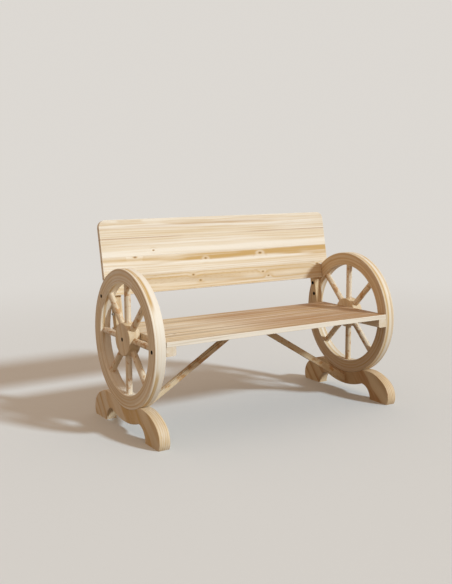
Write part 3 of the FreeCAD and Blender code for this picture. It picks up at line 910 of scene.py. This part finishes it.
@dataclass
class Seat:
    """Four seat boards, edge to edge."""

    seed_step: float = 1.7
    # The wide rust band on each board darkens it from about the middle to the right end: partly darker
    # wood, partly painted shade.
    figures: tuple[Figure, ...] = (
        Figure(heart=(0.02, -0.09), streaks=1.0, rings=0.7, bands=(
            Band(0.0, 0.12, -0.1, 1.5, Tint.RUST, 0.85),
            Band(0.030, 0.012, -0.1, 0.9, Tint.RUST, 0.4, 0.01),
            Band(-0.02, 0.010, -0.9, 0.2, Tint.HONEY, 0.6),
            Band(-0.0525, 0.0035, -0.9, 0.9, Tint.WHITE, 1.2),
        )),
        Figure(heart=(-0.03, 0.08), streaks=1.0, rings=0.7, knots=(
            Knot(-0.423, -0.0355, 0.0055, 0.0),
        ), bands=(
            Band(0.0, 0.12, -0.1, 1.5, Tint.RUST, 0.85),
            Band(-0.022, 0.006, -0.24, -0.04, Tint.RUST, 0.8),
            Band(0.003, 0.008, 0.12, 0.9, Tint.RUST, 1.0),
            Band(0.030, 0.008, -0.6, 0.3, Tint.WHITE, 0.5),
            Band(-0.0515, 0.0016, -0.5, 0.6, Tint.BROWN, 0.8),
        )),
        Figure(heart=(0.01, -0.10), streaks=1.0, rings=0.7, bands=(
            Band(0.0, 0.12, -0.15, 1.5, Tint.RUST, 0.85),
            Band(-0.048, 0.005, -0.7, 0.9, Tint.RUST, 0.6),
            Band(-0.020, 0.010, -0.6, 0.2, Tint.WHITE, 0.6),
            Band(0.02, 0.014, 0.0, 0.9, Tint.AMBER, 0.4, 0.015),
        )),
        Figure(heart=(0.03, -0.08), streaks=1.0, rings=0.7, tone=0.3, bands=(
            Band(0.0, 0.12, -0.15, 1.5, Tint.RUST, 0.85),
            Band(-0.027, 0.012, -0.25, 0.4, Tint.RUST, 0.75),
            Band(0.012, 0.008, -0.6, 0.2, Tint.WHITE, 0.5),
        )),
    )

    def dress(self, fir: Fir) -> None:
        """Give each board its own fir.

        Args:
            fir: The wood.
        """
        for number, figure in enumerate(self.figures, start=1):
            node = f"seat_board_{number}"
            middle, half = middle_of(node)
            grain = StraightGrain(middle, ALONG_BENCH, TO_REAR, half, number * self.seed_step)
            dress_in_fir(node, fir, grain, figure)


@dataclass
class Backrest:
    """Four leaning back boards and the two posts that carry them."""

    post_foot: Pair = (0.1545, 0.371)
    rise: float = 0.132
    width: float = 0.302
    thick: float = 0.018
    length: float = 1.12
    board_seed: float = 20.0
    seed_step: float = 2.3
    post_seed: float = 31.0
    # Painted shade: the heavy tone darkens both posts.
    post: Figure = Figure(heart=(0.05, 0.05), streaks=0.6, rings=0.6, tone=0.8, bands=(
        Band(0.006, 0.004, -0.3, 0.3, Tint.RUST, 0.5),
    ), shaded_bores=tuple(Bore(*bolt, POST_BORE_RADIUS) for bolt in POST_BOLTS))
    figures: tuple[Figure, ...] = (
        Figure(heart=(0.0, -0.06), streaks=0.6, rings=0.65, tone=0.5, flecks=0.7, knots=(
            Knot(-0.157, 0.020, 0.0052, 0.1), Knot(-0.125, -0.005, 0.0052, 0.1),
            Knot(0.195, 0.010, 0.0050, 0.1), Knot(0.222, -0.010, 0.0048, 0.1),
            Knot(0.499, 0.026, 0.0060, 0.2),
        ), bands=(
            Band(0.002, 0.012, -0.16, 0.1, Tint.AMBER, 0.3, -0.06),
            Band(0.020, 0.020, 0.2, 0.9, Tint.AMBER, 0.22),
        )),
        Figure(heart=(0.03, -0.07), streaks=0.3, rings=0.4, knots=(
            Knot(-0.089, 0.011, 0.0058, 0.4), Knot(0.190, 0.018, 0.0072, 0.5),
            Knot(-0.417, 0.034, 0.0062, 0.3),
        ), bands=(
            Band(0.0255, 0.008, -0.7, -0.28, Tint.AMBER, 0.45),
            Band(0.0186, 0.016, -0.26, 0.75, Tint.AMBER, 0.85, 0.0189),
            Band(0.0165, 0.009, -0.19, 0.1, Tint.AMBER, 1.3, 0.0189),
            Band(0.0200, 0.015, 0.08, 0.34, Tint.AMBER, 1.3, 0.0189),
            Band(0.0060, 0.024, 0.3, 0.8, Tint.AMBER, 1.0, 0.0175, 0.6),
            Band(0.0200, 0.017, 0.36, 0.8, Tint.AMBER, 1.3, 0.0175, 0.25),
            Band(-0.001, 0.007, -0.3, 0.45, Tint.WHITE, 1.2),
        )),
        Figure(heart=(-0.02, 0.09), streaks=0.3, rings=0.35, knots=(
            Knot(-0.331, -0.018, 0.0042),
        ), bands=(
            Band(-0.0185, 0.013, -0.8, 0.8, Tint.WHITE, 1.5, 0.0099),
            Band(0.026, 0.008, -0.75, 0.1, Tint.HONEY, 0.3),
            Band(0.0362, 0.0022, -0.62, -0.2, Tint.RUST, 1.4),
        )),
        Figure(heart=(0.02, 0.08), streaks=0.35, rings=0.45, bands=(
            Band(-0.020, 0.012, -0.75, 0.3, Tint.HONEY, 0.4),
            Band(0.010, 0.007, -0.65, 0.25, Tint.RUST, 0.3, 0.012),
            Band(0.031, 0.006, -0.48, -0.37, Tint.AMBER, 0.5),
            Band(-0.0362, 0.0022, 0.16, 0.7, Tint.RUST, 1.4),
        )),
    )

    def dress(self, fir: Fir) -> None:
        """Give each board and each post its own fir.

        Args:
            fir: The wood.
        """
        foot = Vector((0, *self.post_foot))
        board = self.width / len(self.figures)
        half = (self.length / 2, board / 2, self.thick / 2)
        for number, figure in enumerate(self.figures, start=1):
            height = self.rise + (number - 0.5) * board
            middle = foot + UP_THE_BACK * height + OUT_OF_THE_BACK * (self.thick / 2)
            seed = self.board_seed + number * self.seed_step
            grain = StraightGrain(middle, ALONG_BENCH, UP_THE_BACK, half, seed)
            dress_in_fir(f"back_board_{number}", fir, grain, figure)
        for side in Side:
            node = f"{side.word}_post"
            middle, _ = middle_of(node)
            seed = self.post_seed + side.value
            grain = StraightGrain(middle, UP_THE_BACK, ALONG_BENCH, None, seed)
            dress_in_fir(node, fir, grain, self.post)


RIM = Figure(heart=(0.08, 0.05), pitch=0.006, sway=0.012, streaks=0.55, rings=0.7, shaded_bores=(
    Bore(-0.242, 0.354, WHEEL_BORE_RADIUS),
    Bore(0.19635, 0.50146, WHEEL_BORE_RADIUS),
))


@dataclass
class Wheels:
    """The two wheels: rims of felloes, spokes and hubs."""

    rim_radius: float = 0.242
    rim_half: Pair = (0.0225, 0.027)
    rim_middle: float = 0.544
    parts: int = 8
    hub_slant: float = 0.35
    hub_seed: float = 41.0
    hub: Figure = Figure(
        heart=(0.02, 0.12), streaks=0.6, rings=0.6, stretch=2.0, tone=0.45,
        shaded_bores=(Bore(0.0, AXIS_HEIGHT, WHEEL_BORE_RADIUS),),
    )
    spoke: Figure = Figure(
        heart=(0.02, 0.03), streaks=0.5, rings=0.4, stretch=2.0, patches=0.8, patch_size=0.022,
    )
    rims: dict[Side, Figure] = field(default_factory=lambda: {
        Side.LEFT: replace(RIM, bands=(
            Band(0.004, 0.022, *ALL_ALONG, Tint.WHITE, 1.2),
            Band(-0.010, 0.011, -0.24, 0.02, Tint.AMBER, 1.25),
            Band(-0.007, 0.008, -0.68, -0.46, Tint.AMBER, 1.1),
            Band(-0.008, 0.006, 0.10, 0.42, Tint.AMBER, 0.8),
            Band(-0.0168, 0.0028, *ALL_ALONG, Tint.WHITE, 1.2),
        )),
        # Painted shade: the tone darkens the right rim against the left one, and the rust band darkens
        # its inner side face.
        Side.RIGHT: replace(RIM, tone=0.25, bands=(
            Band(-0.0225, 0.003, *ALL_ALONG, Tint.RUST, 0.3),
            Band(0.006, 0.010, *ALL_ALONG, Tint.WHITE, 0.8),
            Band(-0.008, 0.0045, *ALL_ALONG, Tint.AMBER, 0.9, gaps=0.3),
            Band(0.013, 0.006, *ALL_ALONG, Tint.AMBER, 0.7, gaps=0.8),
        )),
    })

    def nodes(self, kind: str, side: Side) -> list[str]:
        """Node names of one kind of piece in one wheel."""
        return [f"{side.word}_{kind}_{part + 1}" for part in range(self.parts)]

    def dress(self, fir: Fir) -> None:
        """Give rims, spokes and hubs their fir.

        Args:
            fir: The wood.
        """
        for side in Side:
            middle = self.rim_middle * side.value
            rim = RoundGrain(AXIS_HEIGHT, self.rim_radius, middle, self.rim_half, self.parts)
            wood = fir.make(f"fir_{side.word}_rim", rim, self.rims[side])
            dress(self.nodes("felloe", side), wood)
        grain = SpokeGrain(AXIS_HEIGHT, self.parts, self.rim_middle)
        spokes = [node for side in Side for node in self.nodes("spoke", side)]
        dress(spokes, fir.make("fir_spokes", grain, self.spoke))
        along = Vector((0, math.sin(self.hub_slant), math.cos(self.hub_slant)))
        for side in Side:
            node = f"{side.word}_hub"
            middle, _ = middle_of(node)
            seed = self.hub_seed + side.value
            grain = StraightGrain(middle, along, along.cross(ALONG_BENCH), None, seed)
            dress_in_fir(node, fir, grain, self.hub)


FOOT = Figure(pitch=0.0085, sway=0.012, streaks=0.5, stretch=2.0)


@dataclass
class Underframe:
    """Feet, cleats and braces."""

    grain_slope: float = math.radians(-48)
    foot_flatness: float = 3.0
    foot_seed: float = 61.0
    feet: dict[Side, Figure] = field(default_factory=lambda: {
        Side.LEFT: replace(FOOT, heart=(0.05, -1.2), rings=0.75, tone=0.35),
        # Painted shade: the heavy tone makes the right foot darker than the left one; its rust rings
        # are partly grain and partly painted shade.
        Side.RIGHT: replace(FOOT, heart=(0.05, 1.2), rings=0.95, tone=0.95, ring_tint=Tint.RUST),
    })
    cleat_seed: float = 51.0
    cleat: Figure = Figure(heart=(0.01, -0.05), streaks=0.12, rings=0.3, stretch=2.0)
    brace_low: Pair = (0.5215, 0.059)
    brace_high: Pair = (0.0, 0.367)
    brace_seed: float = 71.0
    brace: Figure = Figure(
        heart=(0.03, 0.03), streaks=0.4, rings=0.5, tone=0.5, patches=0.9, patch_size=0.045,
        # Painted shade: the brown band darkens the narrow face that looks to the left, the upper one of
        # the left brace and the lower one of the right brace.
        bands=(Band(0.0125, 0.0018, *ALL_ALONG, Tint.BROWN, 1.1),),
    )

    def dress(self, fir: Fir) -> None:
        """Give each piece its own fir.

        Args:
            fir: The wood.
        """
        for side in Side:
            self.dress_foot(fir, side)
            node = f"{side.word}_cleat"
            middle, _ = middle_of(node)
            seed = self.cleat_seed + side.value
            grain = StraightGrain(middle, TO_REAR, -ALONG_BENCH, None, seed)
            dress_in_fir(node, fir, grain, self.cleat)
            self.dress_brace(fir, side)

    def dress_foot(self, fir: Fir, side: Side) -> None:
        """Foot with its rings lying through its thickness and its grain slanting down to the toe.

        Args:
            fir: The wood.
            side: The end of the bench.
        """
        node = f"{side.word}_foot"
        middle, _ = middle_of(node)
        along = Vector((0, -math.cos(self.grain_slope), math.sin(self.grain_slope)))
        across = along.cross(ALONG_BENCH)
        seed = self.foot_seed + side.value
        grain = StraightGrain(middle, along, across, None, seed, self.foot_flatness)
        dress_in_fir(node, fir, grain, self.feet[side])

    def dress_brace(self, fir: Fir, side: Side) -> None:
        """Brace with blotched heartwood along its slope, and painted shade on the narrow face that
        looks to the left.

        Args:
            fir: The wood.
            side: The end of the bench.
        """
        low, high = (Vector((x * side.value, 0, z)) for x, z in (self.brace_low, self.brace_high))
        along = (high - low).normalized()
        seed = self.brace_seed + side.value
        grain = StraightGrain((low + high) / 2, along, along.cross(TO_REAR), None, seed)
        dress_in_fir(f"{side.word}_brace", fir, grain, self.brace)


@dataclass
class WoodScrew:
    """Countersunk wood screw with a cross recess, driven along +Z from the middle of its head."""

    length: float
    head_radius: float = 0.00425
    head_bevel: float = 0.0003
    head_land: float = 0.0005
    head_height: float = 0.003
    neck_radius: float = 0.0018
    root_radius: float = 0.0015
    crest_radius: float = 0.00225
    pitch: float = 0.0022
    plain_share: float = 0.35
    tip: float = 0.005
    point_radius: float = 0.0003
    sides: int = 24
    recess_reach: float = 0.0025
    recess_width: float = 0.0011
    recess_depth: float = 0.0022
    recess_taper: Pair = (0.3, 0.7)
    top_facing: float = 0.9

    def sections(self) -> list[Pair]:
        """Depths and radii below the top of the head.

        Returns:
            One pair for each ring of corners, down to the point.
        """
        plain = self.length * self.plain_share
        rows = [(self.head_bevel, self.head_radius), (self.head_land, self.head_radius),
                (self.head_height, self.neck_radius), (plain, self.neck_radius)]
        depth = plain + self.pitch / 2
        while depth + self.pitch < self.length:
            shrink = min(1.0, (self.length - depth) / self.tip)
            rows.append((depth, self.root_radius * shrink))
            rows.append((depth + self.pitch / 2, self.crest_radius * shrink))
            depth += self.pitch
        return [*rows, (self.length, self.point_radius)]

    def build(self) -> bpy.types.Object:
        """Draw the screw ring by ring from its head, then cut the recess.

        Returns:
            The screw at the origin.
        """
        bpy.ops.object.select_all(action="DESELECT")
        radius = self.head_radius - self.head_bevel
        bpy.ops.mesh.primitive_circle_add(vertices=self.sides, radius=radius, fill_type="NGON")
        screw = bpy.context.object
        bpy.ops.object.mode_set(mode="EDIT")
        bpy.ops.mesh.select_all(action="SELECT")
        depth = 0.0
        for next_depth, next_radius in self.sections():
            step = {"value": (0, 0, next_depth - depth)}
            bpy.ops.mesh.extrude_region_move(TRANSFORM_OT_translate=step)
            scale = next_radius / radius
            bpy.ops.transform.resize(value=(scale, scale, 1), center_override=(0, 0, next_depth))
            depth, radius = next_depth, next_radius
        bpy.ops.mesh.select_all(action="SELECT")
        bpy.ops.mesh.normals_make_consistent(inside=False)
        bpy.ops.object.mode_set(mode="OBJECT")
        for turn in (0.0, math.pi / 2):
            self.cut_slot(screw, turn)
        return screw

    def cut_slot(self, screw: bpy.types.Object, turn: float) -> None:
        """Cut one slot of the recess, narrower at its bottom.

        Args:
            screw: The screw.
            turn: Angle of the slot round the screw.
        """
        bpy.ops.object.select_all(action="DESELECT")
        bpy.ops.mesh.primitive_cube_add(size=1.0)
        blade = bpy.context.object
        bpy.ops.object.mode_set(mode="EDIT")
        size = (self.recess_reach * 2, self.recess_width, self.recess_depth * 2)
        bpy.ops.transform.resize(value=size, center_override=(0, 0, 0))
        mesh = bmesh.from_edit_mesh(blade.data)
        for face in mesh.faces:
            face.select_set(face.normal.z > self.top_facing)
        bmesh.update_edit_mesh(blade.data)
        taper = (*self.recess_taper, 1)
        bpy.ops.transform.resize(value=taper, center_override=(0, 0, self.recess_depth))
        bpy.ops.object.mode_set(mode="OBJECT")
        blade.data.transform(Matrix.Rotation(turn, 4, "Z"))
        pick(screw)
        cut = screw.modifiers.new("recess", "BOOLEAN")
        cut.operation = "DIFFERENCE"
        cut.object = blade
        bpy.ops.object.modifier_apply(modifier=cut.name)
        bpy.data.objects.remove(blade)


@dataclass
class CupWasher:
    """Domed ring round a bolt head, its flat side at the origin and its dome along +Z."""

    middle_radius: float = 0.0068
    half_width: float = 0.0013
    height: float = 0.0009
    sides: int = 32
    rounds: int = 12

    def build(self) -> bpy.types.Object:
        """Flatten the lower half of a ring and lower its dome.

        Returns:
            The washer at the origin.
        """
        bpy.ops.object.select_all(action="DESELECT")
        bpy.ops.mesh.primitive_torus_add(
            major_radius=self.middle_radius, minor_radius=self.half_width,
            major_segments=self.sides, minor_segments=self.rounds,
        )
        washer = bpy.context.object
        bpy.ops.object.mode_set(mode="EDIT")
        bpy.ops.mesh.select_all(action="DESELECT")
        mesh = bmesh.from_edit_mesh(washer.data)
        for corner in mesh.verts:
            corner.select_set(corner.co.z < 0.0)
        bmesh.update_edit_mesh(washer.data)
        bpy.ops.transform.resize(value=(1, 1, 0), center_override=(0, 0, 0))
        bpy.ops.mesh.select_all(action="SELECT")
        bpy.ops.transform.resize(value=(1, 1, self.height / self.half_width), center_override=(0, 0, 0))
        bpy.ops.object.mode_set(mode="OBJECT")
        return washer


@dataclass
class Fittings:
    """Dowels, bolts, inserts, nuts, screws and washers, with the places of those on the right side."""

    turn_step: float = 0.7
    smooth_angle: float = math.radians(35)
    cleat_length: float = 0.045
    cleat_heads: tuple[Triple, ...] = (
        (0.4915, -0.19, 0.337), (0.4915, -0.085, 0.337), (0.4915, 0.02, 0.337), (0.4915, 0.125, 0.337),
        (0.5045, 0.169807, 0.357),
    )
    back_length: float = 0.042
    back_heads: tuple[Triple, ...] = (
        (0.4955, 0.217739, 0.531352), (0.4955, 0.23279, 0.60533),
        (0.4955, 0.247843, 0.679321), (0.4955, 0.262897, 0.753311),
    )
    brace_length: float = 0.033
    brace_low: Triple = (0.5015, 0.0, 0.064388)
    brace_high: Triple = (0.025523, 0.0, 0.351)
    post_face: float = 0.4875
    black: Steel = Steel((0.006, 0.0055, 0.005), (0.018, 0.015, 0.012), 0.0, 0.7, 0.02)
    zinc: Steel = Steel((0.62, 0.61, 0.58), (0.45, 0.44, 0.42), 1.0, 0.34)
    dowel_seed: float = 81.0
    dowel: Figure = Figure(streaks=0.5, rings=0.3)

    def build(self) -> None:
        """Model the screws in place of the plain ones, and the washers on the posts."""
        steel = self.zinc.make("zinc_screws")
        brace_spots = [(self.brace_low, ALONG_BENCH), (self.brace_high, UPWARD)]
        screws = {
            "cleat_screws": (self.cleat_length, [(head, UPWARD) for head in self.cleat_heads]),
            "back_screws": (self.back_length, [(head, OUT_OF_THE_BACK) for head in self.back_heads]),
            "brace_screws": (self.brace_length, brace_spots),
        }
        for node, (length, spots) in screws.items():
            piece = self.spread(WoodScrew(length).build(), f"{node}_cross_head", spots, steel)
            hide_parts(node)
        seats = [((self.post_face, *bolt), -ALONG_BENCH) for bolt in POST_BOLTS]
        black = self.black.make("black_washers")
        washers = self.spread(CupWasher().build(), "post_bolt_washers", seats, black)

    def spread(
        self,
        model: bpy.types.Object,
        name: str,
        spots: list[tuple[Triple, Vector]],
        steel: bpy.types.Material,
    ) -> bpy.types.Object:
        """Put a copy of a small piece in each place on both sides, and join the copies.

        Args:
            model: The piece at the origin, which is used up.
            name: Name of the joined piece.
            spots: Each place on the right side, and the way that the piece's +Z points there.
            steel: Its finish.

        Returns:
            The joined piece.
        """
        copies = []
        for side in Side:
            flip = Vector((side.value, 1, 1))
            for spot, way in spots:
                copy = bpy.data.objects.new(name, model.data.copy())
                bpy.context.scene.collection.objects.link(copy)
                aim = (way * flip).to_track_quat("Z", "Y").to_matrix().to_4x4()
                spin = Matrix.Rotation(len(copies) * self.turn_step, 4, "Z")
                copy.data.transform(Matrix.Translation(Vector(spot) * flip) @ aim @ spin)
                copies.append(copy)
        bpy.data.objects.remove(model)
        pick(*copies)
        bpy.ops.object.join()
        piece = bpy.context.object
        bpy.ops.object.shade_smooth_by_angle(angle=self.smooth_angle)
        piece.data.materials.clear()
        piece.data.materials.append(steel)
        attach(piece, "root")
        LOG.info("built %s", piece.name)
        return piece

    def dress(self) -> None:
        """Give the small CAD pieces their finishes."""
        axis = Vector((0, 0, AXIS_HEIGHT))
        grain = StraightGrain(axis, TO_REAR, UPWARD, None, self.dowel_seed)
        dress(["felloe_dowels"], Beech().make("beech_dowels", grain, self.dowel))
        dress(["wheel_bolts", "post_bolts", "foot_bolts"], self.black.make("black_bolts"))
        dress(["threaded_inserts", "post_bolt_nuts"], self.zinc.make("zinc_fittings"))


@dataclass
class Studio:
    """Pale floor, soft light and the camera."""

    floor_size: float = 40.0
    floor_pale: Triple = (0.72, 0.76, 0.79)
    floor_bounce: Triple = (0.29, 0.25, 0.21)
    floor_roughness: float = 0.9
    floor_specular: float = 0.1
    fade_start: float = 1.6
    fade_end: float = 4.5
    backdrop: Triple = (0.72, 0.69, 0.65)
    fill: Triple = (0.57, 0.42, 0.305)
    key_power: float = 2.6
    key_colour: Triple = (0.815, 0.94, 1.0)
    key_angle: float = math.radians(7)
    key_turn: float = math.radians(30)
    key_height: float = math.radians(31)
    eye: Triple = (-1.84483, -2.80647, 0.99257)
    yaw: float = 0.55498
    pitch: float = -0.146841
    roll: float = -0.004754
    lens: float = 50.634
    sensor: float = 36.0

    def build(self) -> None:
        """Set up the whole studio."""
        self.build_world()
        self.build_floor()
        self.build_key()
        self.build_camera()

    def build_world(self) -> None:
        """Soft warm fill, with the plain backdrop for what the camera, gloss and glass see."""
        world = bpy.data.worlds.new("studio")
        bpy.context.scene.world = world
        world.use_nodes = True
        nodes = Nodes(world.node_tree)
        colour = nodes.blend(self.fill, self.backdrop, nodes.seen())
        nodes.feed(world.node_tree.nodes["Background"].inputs["Color"], colour)

    def build_floor(self) -> None:
        """Floor that fades into the backdrop far from the bench."""
        bpy.ops.object.select_all(action="DESELECT")
        bpy.ops.mesh.primitive_plane_add(size=self.floor_size, location=(0, 0, 0))
        floor = bpy.context.object
        floor.name = "studio_floor"
        shader = Shader("studio_floor")
        x, y, _ = shader.split(shader.place("Object"))
        seen = shader.seen()
        colour = shader.blend(self.floor_bounce, self.floor_pale, seen)
        shader.set(
            Base_Color=colour, Roughness=self.floor_roughness, Specular_IOR_Level=self.floor_specular,
        )
        glow = shader.node("ShaderNodeEmission", None, {"Color": (*self.backdrop, 1.0)})
        far = (x * x + y * y).math("SQRT").smooth(self.fade_start, self.fade_end) * seen
        near = Value(shader, shader.surface.outputs[0])
        mixed = shader.node("ShaderNodeMixShader", None, {0: far, 1: near, 2: glow})
        shader.feed(shader.tree.nodes["Material Output"].inputs["Surface"], mixed)
        floor.data.materials.append(shader.material)

    def build_key(self) -> None:
        """Key light from the front right, above."""
        data = bpy.data.lights.new("key", "SUN")
        data.energy = self.key_power
        data.angle = self.key_angle
        data.color = self.key_colour
        key = bpy.data.objects.new("key", data)
        bpy.context.scene.collection.objects.link(key)
        flat = math.cos(self.key_height)
        towards = Vector((
            math.sin(self.key_turn) * flat, -math.cos(self.key_turn) * flat, math.sin(self.key_height),
        ))
        key.rotation_euler = towards.to_track_quat("Z", "Y").to_euler()

    def build_camera(self) -> None:
        """Camera at the angle of the photograph."""
        data = bpy.data.cameras.new("camera")
        data.lens = self.lens
        data.sensor_width = self.sensor
        camera = bpy.data.objects.new("camera", data)
        bpy.context.scene.collection.objects.link(camera)
        turn = (
            Matrix.Rotation(-self.yaw, 4, "Z")
            @ Matrix.Rotation(math.pi / 2 + self.pitch, 4, "X")
            @ Matrix.Rotation(self.roll, 4, "Z")
        )
        camera.matrix_world = Matrix.Translation(self.eye) @ turn
        bpy.context.scene.camera = camera


def main() -> None:
    """Build the screws, dress the bench and set up the studio."""
    logging.basicConfig(level=logging.INFO, format="%(message)s")
    bpy.context.scene.view_settings.view_transform = "Standard"
    fir = Fir()
    fittings = Fittings()
    fittings.build()
    for part in (Seat(), Backrest(), Wheels(), Underframe()):
        part.dress(fir)
    fittings.dress()
    Studio().build()


if __name__ == "__main__":
    main()
